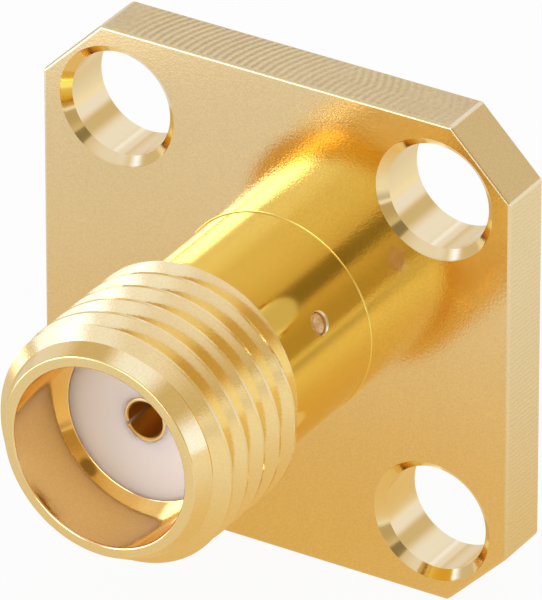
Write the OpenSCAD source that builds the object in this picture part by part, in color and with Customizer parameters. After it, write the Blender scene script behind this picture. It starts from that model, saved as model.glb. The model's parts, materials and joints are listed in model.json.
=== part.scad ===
// Coaxial panel jack with a threaded coupling and a square four-hole flange.
// The flange's rear face lies on Y = 0 and the jack's axis is Y = the line X = Z = 0.
// The barrel and its mouth point along -Y, and the solder post stands out along +Y.

/* [Flange] */
// Width and height of the square flange
flange_w = 12.7; // [11:0.1:20]
// Thickness of the flange
flange_t = 1.5; // [1:0.05:2.5]
// Length of each leg of the 45 degree corner cuts
corner_cut = 1.6; // [0.6:0.05:1.7]
// Width of the bevel that breaks the flange's sharp edges
edge_break = 0.06; // [0.02:0.01:0.12]

/* [Flange holes] */
// Distance of each hole's axis from the two flange edges nearest to it
hole_inset = 2.03; // [1.9:0.01:2.2]
// Diameter of the four mounting holes
hole_d = 2.7; // [2.2:0.05:2.9]
// Width of the countersink at each hole's front edge, measured along the radius
sink_w = 0.19; // [0.05:0.01:0.25]
// Depth of the countersink
sink_depth = 0.2; // [0.05:0.01:0.4]

/* [Barrel] */
// Diameter of the smooth barrel between the flange and the thread
barrel_d = 5.3; // [5:0.02:5.5]
// Length of the smooth barrel, from the flange's front face to the thread's rear shoulder
barrel_l = 3.68; // [2.6:0.02:10]
// Radius of the fillet where the barrel meets the flange
barrel_fillet = 0.06; // [0.02:0.01:0.3]

/* [Coupling thread] */
// Outside diameter of the thread
thread_d = 6.24; // [6.1:0.01:6.6]
// Distance between neighbouring crests
thread_pitch = 0.7056; // [0.6:0.0002:0.8]
// Length of the threaded head, from its rear shoulder to the mouth's rim
head_l = 4.12; // [3.2:0.02:7]
// Angle about the axis at which a crest passes the thread's rear shoulder
thread_turn = 102; // [0:1:359]
// Bevel at the thread's rear shoulder
shoulder_bevel = 0.06; // [0.02:0.01:0.15]

/* [Mouth] */
// Outside diameter of the rim around the mouth
rim_d = 5.2; // [5:0.02:5.4]
// Length of the shallow lead-in cone behind the rim
lead_l = 0.45; // [0.2:0.01:0.6]
// Largest diameter of the lead-in cone
lead_d = 5.6; // [5.54:0.02:5.9]
// Diameter of the mouth's bore
mouth_d = 4.6; // [4.4:0.02:4.8]
// Depth of the mouth's bore, down to the mating plane
mouth_depth = 2.02; // [1.6:0.02:2.4]
// Width of the bevel on the rim's inner and outer edges
rim_bevel = 0.05; // [0.02:0.01:0.09]

/* [Insulator] */
// Diameter of the insulator's bore through the body
insulator_d = 4.16; // [3.9:0.02:4.3]
// Radial clearance between pieces that are pressed together
press_gap = 0.006; // [0.002:0.001:0.01]

/* [Centre contact] */
// Diameter of the contact's body
contact_d = 1.27; // [1.2:0.01:1.5]
// Outside diameter of the closed-in tines
tine_d = 1.13; // [1.06:0.01:1.18]
// Diameter of the contact's socket
socket_d = 0.93; // [0.86:0.01:0.98]
// Depth of the contact's socket
socket_depth = 2.6; // [2:0.05:2.9]
// Length of the slots that part the tines
slot_l = 2.2; // [1.2:0.05:2.6]
// Width of the slots
slot_w = 0.08; // [0.05:0.01:0.2]
// Angle of the slots about the axis
slot_turn = 23; // [0:1:179]
// Diameter of the solder post behind the flange
post_d = 0.9; // [0.6:0.05:1.15]
// Length of the solder post behind the flange
post_l = 3; // [1:0.1:8]
// Bevel on the end of the solder post
post_bevel = 0.12; // [0.05:0.01:0.2]

/* [Captivation] */
// Diameter of the hole through the barrel's side for the captivation plug
plug_d = 0.56; // [0.4:0.02:0.8]
// Distance of the plug's axis from the flange's front face
plug_place = 1.77; // [0.6:0.02:2.1]
// Angle of the plug about the axis
plug_turn = 29.5; // [0:0.5:359]
// Depth of the plug's top below the barrel's skin
plug_sink = 0.08; // [0.04:0.01:0.2]
// Diameter of the contact's waist that the plug grips
waist_d = 0.86; // [0.7:0.02:1.1]
// Length of the waist
waist_l = 1; // [0.9:0.05:1.4]

/* [Hidden] */

// Distance between neighbouring hole axes, the same both ways
hole_pitch = flange_w - 2 * hole_inset;

// Distances in front of the flange's rear face
shoulder_z = flange_t + barrel_l;
mouth_z = shoulder_z + head_l;
mating_z = mouth_z - mouth_depth;
cone_z = mouth_z - lead_l;
plug_z = flange_t + plug_place;

// Form of a 60 degree thread with a crest of an eighth of its pitch
flank_angle = 30;
thread_depth = 0.56 * thread_pitch;
root_r = thread_d / 2 - thread_depth;
crest_half = thread_pitch / 16;
// How far the swept ridge runs past the root and the crest, to be trimmed by the turned blank
ridge_over = 0.04;
sections_per_turn = 40;
// How far above the lead-in cone's large end the thread's chamfer starts
chamfer_step = 0.04;
// Overlap that keeps cuts from ending on the face they open
cut_over = 1;

// Turns a form made along +Z to point out of the flange's front face
module forward() {
    rotate([90, 0, 0]) children();
}

// A straight round bar with its lower end at z0 and its upper end at z1
module bar(d, z0, z1) {
    translate([0, 0, z0]) cylinder(d = d, h = z1 - z0, $fn = 96);
}

// Flange: a square plate with cut corners and every outer edge bevelled. It is what four
// bevelled bars have in common, one for each pair of opposite sides.
module plate() {
    across_corners = (flange_w - corner_cut) * sqrt(2);
    intersection_for(side = [0:3]) {
        width = side % 2 == 0 ? flange_w : across_corners;
        rotate([0, 0, 45 * side]) bevelled_bar(width);
    }
}

module bevelled_bar(width) {
    h = width / 2;
    b = edge_break;
    rotate([90, 0, 0]) linear_extrude(2 * flange_w, center = true) polygon([
        [-h + b, 0], [h - b, 0], [h, b], [h, flange_t - b],
        [h - b, flange_t], [-h + b, flange_t], [-h, flange_t - b], [-h, b]
    ]);
}

module at_holes() {
    for (x = [-1, 1], y = [-1, 1]) {
        translate([x * hole_pitch / 2, y * hole_pitch / 2, 0]) children();
    }
}

module mounting_hole() {
    bar(hole_d, -cut_over, flange_t + cut_over);
    translate([0, 0, flange_t - sink_depth]) {
        cylinder(d1 = hole_d, d2 = hole_d + 2 * sink_w, h = sink_depth, $fn = 96);
    }
    bar(hole_d + 2 * sink_w, flange_t, flange_t + cut_over);
}

// Smooth barrel, with a concave fillet at its foot
module barrel() {
    r = barrel_d / 2;
    f = barrel_fillet;
    rotate_extrude($fn = 96) difference() {
        polygon([[0, 0], [r + f, 0], [r + f, flange_t + f], [r, flange_t + f], [r, shoulder_z], [0, shoulder_z]]);
        translate([r + f, flange_t + f]) circle(r = f, $fn = 48);
    }
}

// Turned blank that trims the thread: shoulder bevel, full diameter, and a chamfer as steep as
// the thread's flanks, which runs down past both the lead-in cone and the thread's root
module thread_blank() {
    r = thread_d / 2;
    start_r = lead_d / 2 + chamfer_step;
    end_r = min(root_r, lead_d / 2) - ridge_over;
    rotate_extrude($fn = 96) polygon([
        [0, shoulder_z], [r - shoulder_bevel, shoulder_z], [r, shoulder_z + shoulder_bevel],
        [r, cone_z - (r - start_r) * tan(flank_angle)],
        [end_r, cone_z + (start_r - end_r) * tan(flank_angle)],
        [0, cone_z + (start_r - end_r) * tan(flank_angle)]
    ]);
}

// Lead-in cone and rim, with no groove in them
module lead_in() {
    rim_r = rim_d / 2;
    rotate_extrude($fn = 96) polygon([
        [0, cone_z], [lead_d / 2, cone_z],
        [rim_r, mouth_z - rim_bevel], [rim_r - rim_bevel, mouth_z], [0, mouth_z]
    ]);
}

// Helical ridge of the thread, swept a turn past both ends of the head
module thread_ridge() {
    inner_r = root_r - ridge_over;
    outer_r = thread_d / 2 + ridge_over;
    outer_half = crest_half - ridge_over * tan(flank_angle);
    inner_half = crest_half + (thread_depth + ridge_over) * tan(flank_angle);
    profile = [
        [inner_r, -inner_half], [outer_r, -outer_half],
        [outer_r, outer_half], [inner_r, inner_half]
    ];
    turns = ceil(head_l / thread_pitch) + 1;
    count = turns * sections_per_turn;
    corners = len(profile);
    points = [
        for (i = [0:count], p = profile)
            let (turn = i / sections_per_turn, angle = thread_turn + 360 * turn)
            [p[0] * cos(angle), p[0] * sin(angle), shoulder_z + thread_pitch * (turn - 1) + p[1]]
    ];
    sides = [
        for (i = [0:count - 1], k = [0:corners - 1])
            let (a = i * corners + k, b = i * corners + (k + 1) % corners)
            each [[a, b, b + corners], [a, b + corners, a + corners]]
    ];
    first = [for (k = [corners - 1:-1:0]) k];
    last = [for (k = [0:corners - 1]) count * corners + k];
    polyhedron(points, concat(sides, [first], [last]), convexity = 10);
}

// Threaded head: the trimmed thread on its core, and the lead-in in front of it
module head() {
    intersection() {
        thread_blank();
        union() {
            bar(2 * root_r, shoulder_z - cut_over, mouth_z + cut_over);
            thread_ridge();
        }
    }
    lead_in();
}

// Bore for the insulator, the wider mouth in front of it and the bevel on the rim
module body_bore() {
    r = mouth_d / 2;
    rotate_extrude($fn = 96) polygon([
        [0, -cut_over], [insulator_d / 2, -cut_over], [insulator_d / 2, mating_z], [r, mating_z],
        [r, mouth_z - rim_bevel], [r + rim_bevel + cut_over, mouth_z + cut_over], [0, mouth_z + cut_over]
    ]);
}

// Radial bar from the axis outwards, at the captivation plug's place
module side_bar(d, length) {
    translate([0, 0, plug_z]) rotate([0, 90, plug_turn]) cylinder(d = d, h = length, $fn = 48);
}

module body() {
    color("goldenrod") forward() difference() {
        union() {
            plate();
            barrel();
            head();
        }
        at_holes() mounting_hole();
        body_bore();
        side_bar(plug_d, barrel_d / 2 + cut_over);
    }
}

module insulator() {
    color("white") forward() difference() {
        bar(insulator_d - 2 * press_gap, 0, mating_z);
        bar(contact_d + 2 * press_gap, -cut_over, mating_z + cut_over);
        side_bar(plug_d, barrel_d / 2);
    }
}

module contact() {
    body_r = contact_d / 2;
    tine_r = tine_d / 2;
    waist_r = waist_d / 2;
    post_r = post_d / 2;
    tine_z = mating_z - slot_l;
    color("gold") forward() difference() {
        rotate_extrude($fn = 64) polygon([
            [0, -post_l], [post_r - post_bevel, -post_l], [post_r, post_bevel - post_l], [post_r, 0],
            [body_r, 0], [body_r, plug_z - waist_l / 2], [waist_r, plug_z - waist_l / 2],
            [waist_r, plug_z + waist_l / 2], [body_r, plug_z + waist_l / 2],
            [body_r, tine_z], [tine_r, tine_z], [tine_r, mating_z], [0, mating_z]
        ]);
        bar(socket_d, mating_z - socket_depth, mating_z + cut_over);
        rotate([0, 0, slot_turn]) translate([-contact_d, -slot_w / 2, tine_z]) {
            cube([2 * contact_d, slot_w, slot_l + cut_over]);
        }
    }
}

// Hardened epoxy: a pin through the barrel's side and the sleeve that fills the contact's waist
module epoxy_plug() {
    sleeve_d = contact_d;
    color("tan") forward() difference() {
        union() {
            side_bar(plug_d - 2 * press_gap, barrel_d / 2 - plug_sink);
            bar(sleeve_d, plug_z - waist_l / 2 + press_gap, plug_z + waist_l / 2 - press_gap);
        }
        bar(waist_d + 2 * press_gap, plug_z - waist_l, plug_z + waist_l);
    }
}

body();
insulator();
contact();
epoxy_plug();
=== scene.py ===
import json
import math

import bpy
from mathutils import Matrix, Vector


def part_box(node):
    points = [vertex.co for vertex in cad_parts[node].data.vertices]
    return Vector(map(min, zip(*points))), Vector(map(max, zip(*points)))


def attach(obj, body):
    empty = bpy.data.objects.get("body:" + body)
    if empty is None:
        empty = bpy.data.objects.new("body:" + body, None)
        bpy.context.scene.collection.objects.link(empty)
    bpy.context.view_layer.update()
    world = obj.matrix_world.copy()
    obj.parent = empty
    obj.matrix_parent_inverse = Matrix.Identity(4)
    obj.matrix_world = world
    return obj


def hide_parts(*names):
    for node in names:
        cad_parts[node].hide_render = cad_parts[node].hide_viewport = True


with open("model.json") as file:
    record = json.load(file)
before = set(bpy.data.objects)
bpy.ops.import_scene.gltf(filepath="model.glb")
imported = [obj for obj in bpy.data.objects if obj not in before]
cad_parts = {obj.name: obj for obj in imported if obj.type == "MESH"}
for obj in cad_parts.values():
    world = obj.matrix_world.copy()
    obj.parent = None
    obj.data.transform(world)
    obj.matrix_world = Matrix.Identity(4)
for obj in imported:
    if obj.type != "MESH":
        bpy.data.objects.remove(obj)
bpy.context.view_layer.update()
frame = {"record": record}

mounts = {mount["name"]: mount for mount in frame["record"]["mounts"]}
mm = 0.001


# ---------------------------------------------------------------------------------------------
# Body, the flange. A square brass plate with cut corners, milled to size on its four sides and
# drilled and countersunk for four screws. The whole body is gold plated once it is machined.

body_low, body_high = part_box("body")
flange_w = body_high.x - body_low.x
flange_t = 1.5 * mm
corner_cut = 1.6 * mm
edge_round = 0.07 * mm
hole_r = mounts["flange_holes"]["dims"]["hole_r_mm"] * mm
hole_pitch = mounts["flange_holes"]["dims"]["spacing_x_mm"] * mm
sink_w = 0.19 * mm
sink_depth = 0.2 * mm
sink_rim = 0.03 * mm
past = 1 * mm


class Value:
    """An output of a node. Arithmetic on it adds Math nodes to the same tree."""

    def __init__(self, tree, socket=None):
        self.tree = tree
        self.socket = socket

    def node(self, kind, settings=None, inputs=None, output=0):
        """Adds any other node: its settings first, then its inputs as values or links."""
        made = self.tree.nodes.new(kind)
        for name, setting in (settings or {}).items():
            setattr(made, name, setting)
        for name, value in (inputs or {}).items():
            if isinstance(value, Value):
                self.tree.links.new(value.socket, made.inputs[name])
            else:
                made.inputs[name].default_value = value
        return None if output is None else Value(self.tree, made.outputs[output])

    def math(self, operation, first, second=0.0):
        return self.node("ShaderNodeMath", {"operation": operation}, {0: first, 1: second})

    def __add__(self, other):
        return self.math("ADD", self, other)

    def __radd__(self, other):
        return self.math("ADD", other, self)

    def __sub__(self, other):
        return self.math("SUBTRACT", self, other)

    def __rsub__(self, other):
        return self.math("SUBTRACT", other, self)

    def __mul__(self, other):
        return self.math("MULTIPLY", self, other)

    def __rmul__(self, other):
        return self.math("MULTIPLY", other, self)

    def blend(self, first, second):
        """The first colour where this is 0, and the second where it is 1."""
        first, second = (c if isinstance(c, Value) else (*c, 1) for c in (first, second))
        inputs = {"Factor": self, 6: first, 7: second}
        return self.node("ShaderNodeMix", {"data_type": "RGBA"}, inputs, output=2)

    def step(self, low, high):
        """0 below low, 1 above high, and a smooth rise between them."""
        settings = {"interpolation_type": "SMOOTHSTEP"}
        return self.node("ShaderNodeMapRange", settings, {"Value": self, "From Min": low, "From Max": high})


def new_material(name):
    """A material with an empty tree, and its tree as a Value."""
    material = bpy.data.materials.new(name)
    material.use_nodes = True
    material.node_tree.nodes.clear()
    return material, Value(material.node_tree)


def show(tree, shader, kind="ShaderNodeOutputMaterial"):
    """Makes a shader the output of its tree."""
    tree.node(kind, inputs={"Surface": shader}, output=None)


def place(tree):
    """The point on the piece, in its own coordinates."""
    return tree.node("ShaderNodeTexCoord", output="Object")


def along(tree, direction):
    """How far the point lies from the origin in one direction."""
    settings = {"operation": "DOT_PRODUCT"}
    return tree.node("ShaderNodeVectorMath", settings, {0: place(tree), 1: direction}, output=1)


def noise(tree, size, detail=2.0, stretch=(1, 1, 1)):
    """Noise from 0 to 1 whose features measure about size, longer along the axes with a large stretch."""
    scale = [1 / (size * longer) for longer in stretch]
    point = tree.node("ShaderNodeMapping", inputs={"Vector": place(tree), "Scale": scale})
    return tree.node("ShaderNodeTexNoise", inputs={"Vector": point, "Scale": 1.0, "Detail": detail})


def bump(tree, height, depth):
    """A normal bent by a height from 0 to 1, where 1 stands depth above the surface."""
    return tree.node("ShaderNodeBump", inputs={"Height": height, "Distance": depth, "Strength": 1.0})


# One gold plate, drawn as lit and shaded copies: the colours differ zone by zone only to stand in for how the
# light falls on each.
plate_gold = (0.95, 0.75, 0.39)
pale_gold = (0.95, 0.79, 0.42)
# A paler copy for the roundings, corner cuts and the side hole's bevel: painted highlight.
edge_highlight_gold = (0.95, 0.81, 0.48)
rich_gold = (0.95, 0.745, 0.33)
deep_gold = (0.95, 0.725, 0.17)
# A deeper, more orange copy for the bore's walls: painted shade.
bore_shade_gold = (0.95, 0.64, 0.24)


def gold(name, colour, roughness, relief, depth, hollow=0.96):
    """Gold plate. relief is a function of the tree that gives the tool marks' height from 0 to 1,
    and depth is how deep they are. In their hollows the colour is multiplied by hollow: painted
    shade that darkens the hollows of the tool marks and grain."""
    material, tree = new_material(name)
    marks = relief(tree)
    clouds = noise(tree, 1.3 * mm)
    uneven = (noise(tree, 0.05 * mm) - 0.5) * 0.06
    # Painted shade: the colour in the hollows of the marks.
    shaded_colour = [hollow * part for part in colour]
    shader = tree.node(
        "ShaderNodeBsdfPrincipled",
        inputs={
            "Base Color": (marks * 0.7 + clouds * 0.3).blend(shaded_colour, colour),
            "Metallic": 1.0,
            "Roughness": uneven + roughness,
            "Normal": bump(tree, marks, depth),
        },
    )
    show(tree, shader)
    return material


def satin_grain(tree):
    """The soft, even grain of the plating."""
    return noise(tree, 0.055 * mm).step(0.3, 0.7)


def milled_arcs(tree):
    """Arcs that a small end mill leaves as it is fed along a side, crossed in one corner by the
    arcs of its rear edge."""
    feed = 0.2 * mm
    mill_r = 2.8 * mm
    mill_y = -1.45 * mm
    wander = 0.05 * mm
    x = along(tree, (1, 0, 0)) + noise(tree, 0.8 * mm) * wander
    y = along(tree, (0, 1, 0))
    rise = y - mill_y
    reach = tree.math("SQRT", mill_r ** 2 - rise * rise)
    front_arcs = tree.math("SINE", (x + reach) * (2 * math.pi / feed))
    rear_arcs = tree.math("SINE", (x - reach) * (2 * math.pi / feed))
    crossed = x.step(0.9 * mm, 2.0 * mm) * y.step(-0.95 * mm, -0.6 * mm)
    fading = x.step(3.6 * mm, 2.4 * mm) * 0.4 + x.step(1.2 * mm, -0.8 * mm) * 0.4 + 0.2
    strength = x.step(-4.5 * mm, -3.5 * mm) * fading
    wave = front_arcs * (1 - crossed) + rear_arcs * crossed
    return wave * strength * 0.5 + 0.5 + (noise(tree, 0.08 * mm) - 0.5) * 1.2


def milled_slants(tree):
    """Fine, faint lines of a mill that lean across the upright sides."""
    spacing = 0.12 * mm
    wander = 0.12 * mm
    across = along(tree, (0, 0.05, 1)) + noise(tree, 0.4 * mm) * wander
    wave = tree.math("SINE", across * (2 * math.pi / spacing))
    return wave * noise(tree, 0.25 * mm) * 0.5 + 0.5 + (noise(tree, 0.06 * mm) - 0.5) * 1.8


def turned_rings(tree):
    """Fine rings round the axis, as a lathe's tool leaves them."""
    return noise(tree, 0.05 * mm, stretch=(60, 1, 60))


FACE, TOP_SIDE, UPRIGHT_SIDE, EDGE, DRILLED, BARREL, THREAD, BORE, RING = range(9)
# Each hollow value sets how much painted shade darkens that finish's tool-mark hollows.
plated = [
    gold("gold_flange_face", plate_gold, 0.11, satin_grain, 0.0006 * mm, hollow=0.89),
    gold("gold_side_arcs", pale_gold, 0.30, milled_arcs, 0.008 * mm, hollow=0.62),
    gold("gold_side_slants", pale_gold, 0.30, milled_slants, 0.006 * mm, hollow=0.87),
    # Painted highlight along the roundings, corner cuts and the side hole's bevel.
    gold("gold_edge_highlight", edge_highlight_gold, 0.24, satin_grain, 0.0006 * mm, hollow=0.90),
    gold("gold_drilled", pale_gold, 0.10, turned_rings, 0.0003 * mm),
    gold("gold_barrel", deep_gold, 0.10, turned_rings, 0.0005 * mm, hollow=0.93),
    gold("gold_thread", rich_gold, 0.12, satin_grain, 0.0005 * mm, hollow=0.93),
    # Painted shade on the bore's walls.
    gold("gold_bore_shade", bore_shade_gold, 0.10, satin_grain, 0.0002 * mm, hollow=0.90),
    gold("gold_ring", pale_gold, 0.05, turned_rings, 0.0003 * mm),
]


def choose(piece):
    """Makes a piece the only one selected, and the active one."""
    bpy.ops.object.select_all(action="DESELECT")
    piece.select_set(True)
    bpy.context.view_layer.objects.active = piece


def apply_modifier(piece, kind, **settings):
    """Gives a piece a modifier with these settings, and applies it."""
    choose(piece)
    modifier = piece.modifiers.new(kind, kind)
    for name, value in settings.items():
        setattr(modifier, name, value)
    bpy.ops.object.modifier_apply(modifier=modifier.name)


def combine(piece, operation, tool):
    """Joins, cuts or keeps what piece shares with tool, and uses the tool up."""
    apply_modifier(piece, "BOOLEAN", operation=operation, object=tool, solver="MANIFOLD")
    bpy.data.objects.remove(tool)


def coated(piece, materials, index=0):
    """Gives a piece its list of materials, and all its faces one of them."""
    piece.data.materials.clear()
    for material in materials:
        piece.data.materials.append(material)
    for face in piece.data.polygons:
        face.material_index = index
    return piece


def turned(name, profile, steps=256):
    """A solid turned about the Y axis, from its (radius, y) points in order, closed at both ends."""
    bpy.ops.object.select_all(action="DESELECT")
    radius, y = profile[0]
    bpy.ops.mesh.primitive_circle_add(
        vertices=steps, radius=radius, fill_type="NGON", location=(0, y, 0), rotation=(math.pi / 2, 0, 0)
    )
    piece = bpy.context.object
    piece.name = name
    bpy.ops.object.transform_apply(location=True, rotation=True, scale=True)
    bpy.ops.object.mode_set(mode="EDIT")
    for new_radius, new_y in profile[1:]:
        bpy.ops.mesh.extrude_region_move(TRANSFORM_OT_translate={"value": (0, new_y - y, 0)})
        growth = new_radius / radius
        bpy.ops.transform.resize(value=(growth, 1, growth), center_override=(0, new_y, 0))
        radius, y = new_radius, new_y
    bpy.ops.mesh.select_all(action="SELECT")
    bpy.ops.mesh.normals_make_consistent(inside=False)
    bpy.ops.object.mode_set(mode="OBJECT")
    return piece


def smooth(piece, degrees):
    """Shades a piece smooth across edges up to an angle, and keeps its flats flat right up to their
    roundings. It is done at a thousand times the size, since the areas it weighs are too small."""
    choose(piece)
    for size in (1000, 0.001):
        bpy.ops.transform.resize(value=(size, size, size), center_override=(0, 0, 0))
        bpy.ops.object.transform_apply(location=True, rotation=True, scale=True)
        if size > 1:
            bpy.ops.object.shade_smooth_by_angle(angle=math.radians(degrees))
            apply_modifier(piece, "WEIGHTED_NORMAL", mode="FACE_AREA", keep_sharp=True)


def arc(centre, radius, start, end, steps):
    """Points of a round edge in a turned profile. Angles are in degrees, 0 outwards and 90 along +Y."""
    angles = [math.radians(start + (end - start) * step / steps) for step in range(steps + 1)]
    return [(centre[0] + radius * math.cos(a), centre[1] + radius * math.sin(a)) for a in angles]


bpy.ops.object.select_all(action="DESELECT")
bpy.ops.mesh.primitive_cube_add(
    size=1, location=(0, -flange_t / 2, 0), scale=(flange_w, flange_t, flange_w)
)
body = bpy.context.object
body.name = "jack_body"
bpy.ops.object.transform_apply(location=True, rotation=True, scale=True)
bpy.ops.object.mode_set(mode="EDIT")
bpy.ops.mesh.select_mode(type="EDGE")
bpy.ops.mesh.select_all(action="DESELECT")
bpy.ops.object.mode_set(mode="OBJECT")
for edge in body.data.edges:
    first, second = (body.data.vertices[v].co for v in edge.vertices)
    edge.select = abs(first.y - second.y) > flange_t / 2
bpy.ops.object.mode_set(mode="EDIT")
bpy.ops.mesh.bevel(offset=corner_cut, offset_type="OFFSET", segments=1, affect="EDGES")
bpy.ops.object.mode_set(mode="OBJECT")
coated(body, plated)
squarely = 0.9
for face in body.data.polygons:
    n = face.normal
    if abs(n.y) > squarely:
        face.material_index = FACE
    elif abs(n.z) > squarely:
        face.material_index = TOP_SIDE
    elif abs(n.x) > squarely:
        face.material_index = UPRIGHT_SIDE
    else:
        face.material_index = EDGE
apply_modifier(
    body, "BEVEL", width=edge_round, segments=3, limit_method="ANGLE", angle_limit=math.radians(25),
    material=EDGE,
)

for x in (-1, 1):
    for z in (-1, 1):
        drill = turned("drill", [
            (hole_r, past),
            (hole_r, sink_depth - flange_t),
            (hole_r + sink_w, sink_rim - flange_t),
            (hole_r + sink_w + sink_rim, -flange_t),
            (hole_r + sink_w + sink_rim, -flange_t - past),
        ], steps=128)
        coated(drill, plated, DRILLED)
        drill.location = (x * hole_pitch / 2, 0, z * hole_pitch / 2)
        combine(body, "DIFFERENCE", drill)


# ---------------------------------------------------------------------------------------------
# Body, the barrel and threaded head. They are turned from the same bar as the flange; a threading
# tool then cuts the 36 turns per inch groove from the mouth back to the shoulder.

barrel_r = 2.65 * mm
barrel_fillet = 0.035 * mm
mouth_y = body_low.y
shoulder_y = -5.18 * mm
barrel_end = shoulder_y - 0.42 * mm
thread_r = 3.12 * mm
pitch = 0.7056 * mm
thread_turn = math.radians(102)
crest_half = pitch / 16
crest_round = 0.02 * mm
crest_clear = 0.0003 * mm
crest_over = 0.05 * mm
root_r = thread_r - 0.56 * pitch
root_round = 0.05 * mm
flank = math.radians(30)
flank_turn = 60
turns = 7
steps_per_turn = 216
shoulder_bevel = 0.06 * mm
cone_y = mouth_y + 0.45 * mm
cone_r = 2.8 * mm
cone_depth = 0.25 * mm
cone_core_r = 2.2 * mm
rim_r = 2.6 * mm
rim_round = 0.05 * mm
chamfer_step = 0.04 * mm
chamfer_end = 2.68 * mm

fillet = arc((barrel_r + barrel_fillet, -flange_t - barrel_fillet), barrel_fillet, 176, 96, 8)
barrel = turned("barrel", [(barrel_r, barrel_end), (barrel_r, fillet[0][1] - 0.02 * mm)] + fillet + [
    (fillet[-1][0], -flange_t + 0.1 * mm),
])
combine(body, "UNION", coated(barrel, plated, BARREL))

chamfer_top = cone_y + (thread_r - cone_r - chamfer_step) * math.tan(flank)
head = turned("head", [
    (thread_r - shoulder_bevel, shoulder_y),
    (thread_r, shoulder_y - shoulder_bevel),
    (thread_r, chamfer_top),
    (chamfer_end, cone_y - (cone_r + chamfer_step - chamfer_end) * math.tan(flank)),
])
coated(head, plated, THREAD)

half_top = pitch / 2 - crest_half
half_root = half_top - (thread_r - root_r) * math.tan(flank)
to_corner = math.tan(math.radians(flank_turn / 2))
crest_edge = half_top + crest_round * to_corner
crest_arc = arc((thread_r + crest_clear - crest_round, crest_edge), crest_round, 0, -flank_turn, 3)
root_edge = half_root - root_round * to_corner
root_arc = arc((root_r + root_round, root_edge), root_round, 180 - flank_turn, 180, 3)
side = [(thread_r + crest_over, crest_edge)] + crest_arc + root_arc
groove = side + [(r, -y) for r, y in reversed(side)]
crest_y = shoulder_y + pitch * thread_turn / (2 * math.pi)
groove_y = crest_y - pitch / 2 - (turns - 1) * pitch
bpy.ops.object.select_all(action="DESELECT")
bpy.ops.mesh.primitive_circle_add(vertices=len(groove), radius=1 * mm, fill_type="NOTHING")
cutter = bpy.context.object
for vertex, (r, y) in zip(cutter.data.vertices, groove):
    vertex.co = (r, groove_y + y, 0)
apply_modifier(
    cutter, "SCREW", axis="Y", angle=2 * math.pi, screw_offset=pitch, iterations=turns,
    steps=steps_per_turn, render_steps=steps_per_turn, use_merge_vertices=True, merge_threshold=0.0001 * mm,
)
bpy.ops.object.mode_set(mode="EDIT")
bpy.ops.mesh.select_all(action="SELECT")
bpy.ops.mesh.fill_holes(sides=0)
bpy.ops.mesh.select_all(action="SELECT")
bpy.ops.mesh.normals_make_consistent(inside=False)
bpy.ops.object.mode_set(mode="OBJECT")
combine(head, "DIFFERENCE", coated(cutter, plated, THREAD))
combine(body, "UNION", head)

lead_in = turned("lead_in", [
    (rim_r, cone_y + cone_depth),
    (rim_r, cone_y),
    (cone_r, cone_y),
] + arc((rim_r - rim_round, mouth_y + rim_round), rim_round, -15, -90, 4) + [
    (cone_core_r, mouth_y),
])
combine(body, "UNION", coated(lead_in, plated, THREAD))


# ---------------------------------------------------------------------------------------------
# Body, the bore. It is drilled through for the insulator and opened to a polished mouth, whose
# floor is the plane that a mating plug meets. A small hole in the side takes the locking resin.

bore_r = 2.08 * mm
rear_bevel = 0.03 * mm
mouth_r = mounts["mouth"]["dims"]["r_mm"] * mm
mating_y = mouth_y + 2.02 * mm
ring_round = 0.04 * mm
bore = turned("bore", [
    (bore_r + 2 * rear_bevel, rear_bevel),
    (bore_r, -rear_bevel),
    (bore_r, mating_y + ring_round),
    (bore_r + 0.3 * ring_round, mating_y + 0.3 * ring_round),
    (bore_r + ring_round, mating_y),
    (mouth_r, mating_y),
] + arc((mouth_r + rim_round, mouth_y + rim_round), rim_round, 180, 264, 4) + [
    (mouth_r + rim_round, mouth_y - past),
])
coated(bore, plated, BORE)
for face in bore.data.polygons:
    if abs(face.normal.y) > squarely:
        face.material_index = RING
combine(body, "DIFFERENCE", bore)

plug_y = -flange_t - 1.77 * mm
plug_turn = math.radians(29.5)
plug_hole_r = 0.28 * mm
plug_bevel = 0.06 * mm
bevel_start = barrel_r - 0.045 * mm
to_side = Matrix.Rotation(-plug_turn, 4, "Y") @ Matrix.Rotation(-math.pi / 2, 4, "Z")
side_drill = turned("side_drill", [
    (plug_hole_r, 1.5 * mm),
    (plug_hole_r, bevel_start),
    (plug_hole_r + plug_bevel, bevel_start + plug_bevel),
    (plug_hole_r + plug_bevel, barrel_r + past),
], steps=64)
side_drill.matrix_world = Matrix.Translation((0, plug_y, 0)) @ to_side
combine(body, "DIFFERENCE", coated(side_drill, plated, EDGE))

smooth(body, 28)
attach(body, "root")
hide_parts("body")


# ---------------------------------------------------------------------------------------------
# Insulator. A turned rod of white PTFE, pressed into the bore until its end is level with the
# mating plane. It has the contact's bore along its middle and a side hole for the resin.

ptfe_r = bore_r - 0.006 * mm
ptfe_bore_r = 0.641 * mm
ptfe_lip_r = 0.572 * mm
lip_y = mating_y + 2.19 * mm
lip_slope = 0.07 * mm
ptfe_round = 0.02 * mm
insulator = turned("ptfe_insulator", [
    (ptfe_r - ptfe_round, 0),
    (ptfe_r, -ptfe_round),
] + arc((ptfe_r - ptfe_round, mating_y + ptfe_round), ptfe_round, 0, -90, 4))
combine(insulator, "DIFFERENCE", turned("ptfe_drill", [
    (ptfe_bore_r, past),
    (ptfe_bore_r, lip_y),
    (ptfe_lip_r, lip_y - lip_slope),
    (ptfe_lip_r, mating_y + ptfe_round / 2),
    (ptfe_lip_r + ptfe_round, mating_y - ptfe_round / 2),
], steps=128))
ptfe_side = turned("ptfe_side_drill", [(plug_hole_r, 0.2 * mm), (plug_hole_r, 3 * mm)], steps=64)
ptfe_side.matrix_world = Matrix.Translation((0, plug_y, 0)) @ to_side
combine(insulator, "DIFFERENCE", ptfe_side)

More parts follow.
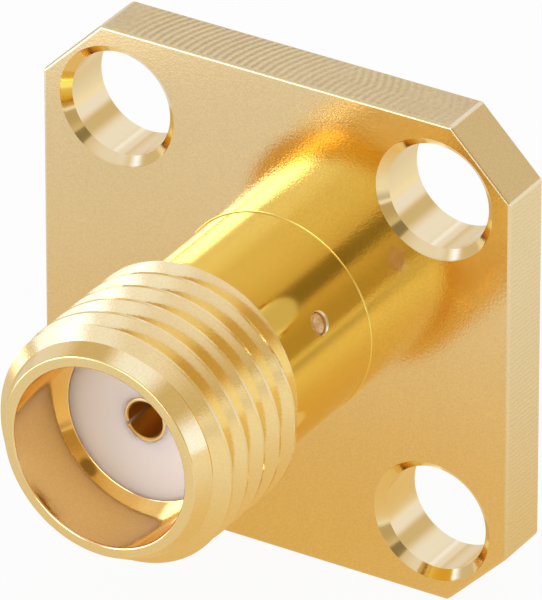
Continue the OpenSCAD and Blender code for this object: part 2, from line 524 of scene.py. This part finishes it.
ptfe, tree = new_material("ptfe")
haze = noise(tree, 0.5 * mm, detail=3.0)
ptfe_shader = tree.node(
    "ShaderNodeBsdfPrincipled",
    inputs={
        "Base Color": haze.blend((0.97, 0.92, 0.85), (0.95, 0.89, 0.81)),
        "Roughness": haze * 0.1 + 0.38,
        "Subsurface Weight": 1.0,
        "Subsurface Radius": (1, 1, 1),
        "Subsurface Scale": 0.5 * mm,
        "Normal": bump(tree, noise(tree, 0.04 * mm, stretch=(1, 8, 1)), 0.0008 * mm),
    },
)
show(tree, ptfe_shader)
coated(insulator, [ptfe])
smooth(insulator, 28)
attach(insulator, "root")
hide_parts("insulator")


# ---------------------------------------------------------------------------------------------
# Centre contact. Turned from a spring alloy and gold plated: a solder post behind the flange, a
# waist that the resin grips, and two slotted tines round the socket that take the plug's pin.

contact_r = 0.635 * mm
contact_bevel = 0.02 * mm
tine_r = 0.565 * mm
waist_r = 0.43 * mm
waist_half = 0.5 * mm
tine_y = mating_y + 2.2 * mm
socket_r = mounts["socket"]["dims"]["r_mm"] * mm
socket_y = mating_y + 2.6 * mm
post_r = mounts["solder_post"]["dims"]["r_mm"] * mm
post_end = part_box("contact")[1].y
post_round = 0.12 * mm
tip_round = 0.03 * mm
contact = turned("centre_contact", arc((post_r - post_round, post_end - post_round), post_round, 90, 0, 5) + [
    (post_r, 0),
    (contact_r - contact_bevel, 0),
    (contact_r, -contact_bevel),
    (contact_r, plug_y + waist_half),
    (waist_r, plug_y + waist_half),
    (waist_r, plug_y - waist_half),
    (contact_r, plug_y - waist_half),
    (contact_r, tine_y + contact_r - tine_r),
    (tine_r, tine_y),
] + arc((tine_r - tip_round, mating_y + tip_round), tip_round, 0, -84, 4), steps=128)
# A deeper, darker copy of the plate gold inside the socket: painted shade.
socket_shade_gold = (0.92, 0.66, 0.22)
OUTSIDE, SOCKET = range(2)
contact_coat = [
    gold("gold_contact", plate_gold, 0.14, turned_rings, 0.0003 * mm),
    gold("gold_socket_shade", socket_shade_gold, 0.4, turned_rings, 0.0003 * mm),
]
coated(contact, contact_coat, OUTSIDE)
combine(contact, "DIFFERENCE", coated(turned("socket_drill", [
    (0.02 * mm, socket_y + 0.2 * mm),
    (socket_r, socket_y),
    (socket_r, mating_y + tip_round),
    (socket_r + 2 * tip_round, mating_y - tip_round),
], steps=128), contact_coat, SOCKET))
slot_turn = math.radians(23)
slot_w = 0.08 * mm
bpy.ops.object.select_all(action="DESELECT")
bpy.ops.mesh.primitive_cube_add(size=1)
saw = bpy.context.object
saw.matrix_world = (
    Matrix.Rotation(-slot_turn, 4, "Y")
    @ Matrix.Translation((0, (tine_y + mating_y - past) / 2, 0))
    @ Matrix.Diagonal((4 * contact_r, tine_y - mating_y + past, slot_w, 1))
)
combine(contact, "DIFFERENCE", saw)
smooth(contact, 28)
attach(contact, "root")
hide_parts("contact")


# ---------------------------------------------------------------------------------------------
# Locking resin. Epoxy run in through the barrel's side hole fills the contact's waist and sets as
# a sleeve with a pin, whose top dries to a small hollow just below the barrel's skin.

resin_gap = 0.006 * mm
resin_r = plug_hole_r - resin_gap
resin_top = barrel_r - 0.17 * mm
resin = turned("epoxy_plug", [
    (contact_r - resin_gap, plug_y + waist_half - resin_gap),
    (contact_r - resin_gap, plug_y - waist_half + resin_gap),
], steps=96)
resin_pin = turned("resin_pin", [
    (resin_r, 0.3 * mm),
    (resin_r, resin_top + 0.05 * mm),
    (resin_r * 0.92, resin_top + 0.015 * mm),
    (resin_r * 0.78, resin_top - 0.025 * mm),
    (resin_r * 0.55, resin_top - 0.06 * mm),
    (resin_r * 0.28, resin_top - 0.08 * mm),
], steps=64)
resin_pin.matrix_world = Matrix.Translation((0, plug_y, 0)) @ to_side
combine(resin, "UNION", resin_pin)
combine(resin, "DIFFERENCE", turned("waist_core", [
    (waist_r + resin_gap, plug_y + past), (waist_r + resin_gap, plug_y - past),
], steps=96))
epoxy, tree = new_material("epoxy")
epoxy_shader = tree.node(
    "ShaderNodeBsdfPrincipled",
    inputs={
        "Base Color": (0.80, 0.52, 0.22, 1),
        "Metallic": 0.5,
        "Roughness": noise(tree, 0.1 * mm) * 0.1 + 0.1,
        "Normal": bump(tree, noise(tree, 0.16 * mm), 0.06 * mm),
    },
)
show(tree, epoxy_shader)
coated(resin, [epoxy])
smooth(resin, 50)
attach(resin, "root")
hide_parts("epoxy_plug")


# ---------------------------------------------------------------------------------------------
# Studio. A pale paper floor under the flange's lower edge, a white tent lit by soft panels all
# round with a dark gap for the lens, and two small bright lamps in front and at the front left.

camera_azimuth = math.radians(31.17)
camera_elevation = math.radians(29.68)
camera_distance = 281.22 * mm
aim = Vector((0.852, -3.0, 1.363)) * mm
to_camera = Vector((
    math.sin(camera_azimuth) * math.cos(camera_elevation),
    -math.cos(camera_azimuth) * math.cos(camera_elevation),
    math.sin(camera_elevation),
))
bpy.ops.object.camera_add(location=aim + camera_distance * to_camera)
camera = bpy.context.object
camera.rotation_euler = to_camera.to_track_quat("Z", "Y").to_euler()
camera.data.sensor_width = 36
camera.data.lens = 724.9
camera.data.shift_x = -0.002
camera.data.clip_start = 0.01
camera.data.clip_end = 10
bpy.context.scene.camera = camera

bpy.ops.object.select_all(action="DESELECT")
bpy.ops.mesh.primitive_plane_add(size=0.6, location=(0, 0, body_low.z))
floor = bpy.context.object
floor.name = "floor"
paper, tree = new_material("floor_paper")
seen, mirrored, through = (
    tree.node("ShaderNodeLightPath", output=f"Is {ray} Ray") for ray in ("Camera", "Glossy", "Transmission")
)
paper_diffuse = tree.node("ShaderNodeBsdfDiffuse", inputs={"Color": (0.8, 0.8, 0.8, 1)})


def near(point, inner, outer):
    """1 within inner of a point of the floor, 0 beyond outer."""
    settings = {"operation": "DISTANCE"}
    distance = tree.node("ShaderNodeVectorMath", settings, {0: place(tree), 1: point}, output=1)
    return distance.step(outer, inner)


# Seen in reflections the floor is painted with light: brighter to the right and in front, a painted pool of
# lamp light at the front left, a painted darker patch at the far right, and a painted glow of gold light
# round the flange's foot. To the camera it stays plain white but for a faint shadow.
to_right = along(tree, (1, 0, 0))
under = near((0, -flange_t, 0), 0, 22 * mm)
front = near((8 * mm, -28 * mm, 0), 5 * mm, 25 * mm)
far_right = near((55 * mm, -45 * mm, 0), 12 * mm, 42 * mm)
painted_lamp_pool = near((-40 * mm, -45 * mm, 0), 14 * mm, 37 * mm)
right_light = to_right.step(-2 * mm, 20 * mm) * 0.08 + to_right.step(5 * mm, 50 * mm) * 0.1
paper_level = 0.79 + right_light + front * 0.1 + painted_lamp_pool * 3 - far_right * 0.38
# Painted glow of gold light on the paper round the flange's foot, seen in reflections.
painted_gold_glow = under.blend((1, 0.95, 0.95), (1, 0.71, 0.30))
paper_colour = mirrored.blend((1, 1, 1), painted_lamp_pool.blend(painted_gold_glow, (1, 1, 1.2)))
paper_white = tree.node(
    "ShaderNodeEmission", inputs={"Color": paper_colour, "Strength": seen + through + mirrored * paper_level}
)
paper_mix = tree.node(
    "ShaderNodeMixShader",
    inputs={0: (seen + through) * 0.94 + mirrored * 0.97, 1: paper_diffuse, 2: paper_white},
)
show(tree, paper_mix)
floor.data.materials.append(paper)

world = bpy.data.worlds.new("tent")
bpy.context.scene.world = world
world.use_nodes = True
world.node_tree.nodes.clear()
tree = Value(world.node_tree)
seen, through, scattered = (
    tree.node("ShaderNodeLightPath", output=f"Is {ray} Ray") for ray in ("Camera", "Transmission", "Diffuse")
)
heading = tree.node("ShaderNodeTexCoord", output="Generated")


def heading_along(axis):
    """The cosine of the angle between a direction of the tent and an axis of length 1."""
    settings = {"operation": "DOT_PRODUCT"}
    return tree.node("ShaderNodeVectorMath", settings, {0: heading, 1: axis}, output=1)


def toward(axis, inner, outer):
    """1 within inner degrees of an axis, 0 beyond outer degrees."""
    cosine = heading_along(Vector(axis).normalized())
    return cosine.step(math.cos(math.radians(outer)), math.cos(math.radians(inner)))


rear_half = heading_along((0, 1, 0)).step(-0.40, -0.28)
lens_gap = toward((0.464, -0.713, 0.525), 7, 9.5)
dim_room = toward((0.69, -0.72, 0.04), 6, 20)
front_panel = toward((-0.25, -0.84, 0.48), 8, 42)
front_seam = toward((-0.55, -0.68, 0.48), 3, 18)
top_panel = toward((0.06, -0.10, 0.98), 8, 32) * rear_half
rear_top = toward((0.0, 0.77, 0.64), 6, 26)
right_panel = toward((1, 0.12, -0.02), 14, 38)
rear_right = toward((0.66, 0.75, 0.05), 8, 20)
rear_left = toward((-0.85, 0.47, 0.23), 12, 32)
rear_high = toward((-0.41, 0.73, 0.54), 4, 12)
left_panel = toward((-0.88, -0.42, 0.24), 10, 25) * (1 - rear_half)
lamp = toward((-0.668, -0.743, 0.03), 4, 15.5)
front_lamp = toward((-0.12, -0.99, 0.05), 8, 16)
front_lights = front_panel * 0.2 + front_seam * 0.12 + left_panel * 0.5 + lamp * 4.5 + front_lamp * 4.2
side_lights = right_panel * 0.42 + rear_right * 0.24 + rear_left * 0.2
rear_lights = top_panel * 0.34 + rear_top * 0.24 + rear_high * 0.2 + side_lights
tent_level = 0.67 + front_lights + rear_lights - dim_room * 0.14 - lens_gap * 0.41
shown = seen + through
level = tent_level * (1 - shown) * (scattered * 0.18 + 1) + shown
cool = tent_level.step(0.55, 1.3) * (1 - lamp * 0.8) * (1 - front_lamp * 0.9)
tent_colour = shown.blend(cool.blend((1, 0.80, 0.50), (1, 1.25, 2.2)), (1, 1, 1))
sky = tree.node("ShaderNodeBackground", inputs={"Color": tent_colour, "Strength": level})
show(tree, sky, "ShaderNodeOutputWorld")

bpy.context.scene.view_settings.view_transform = "Standard"
bpy.context.scene.cycles.glossy_bounces = 8
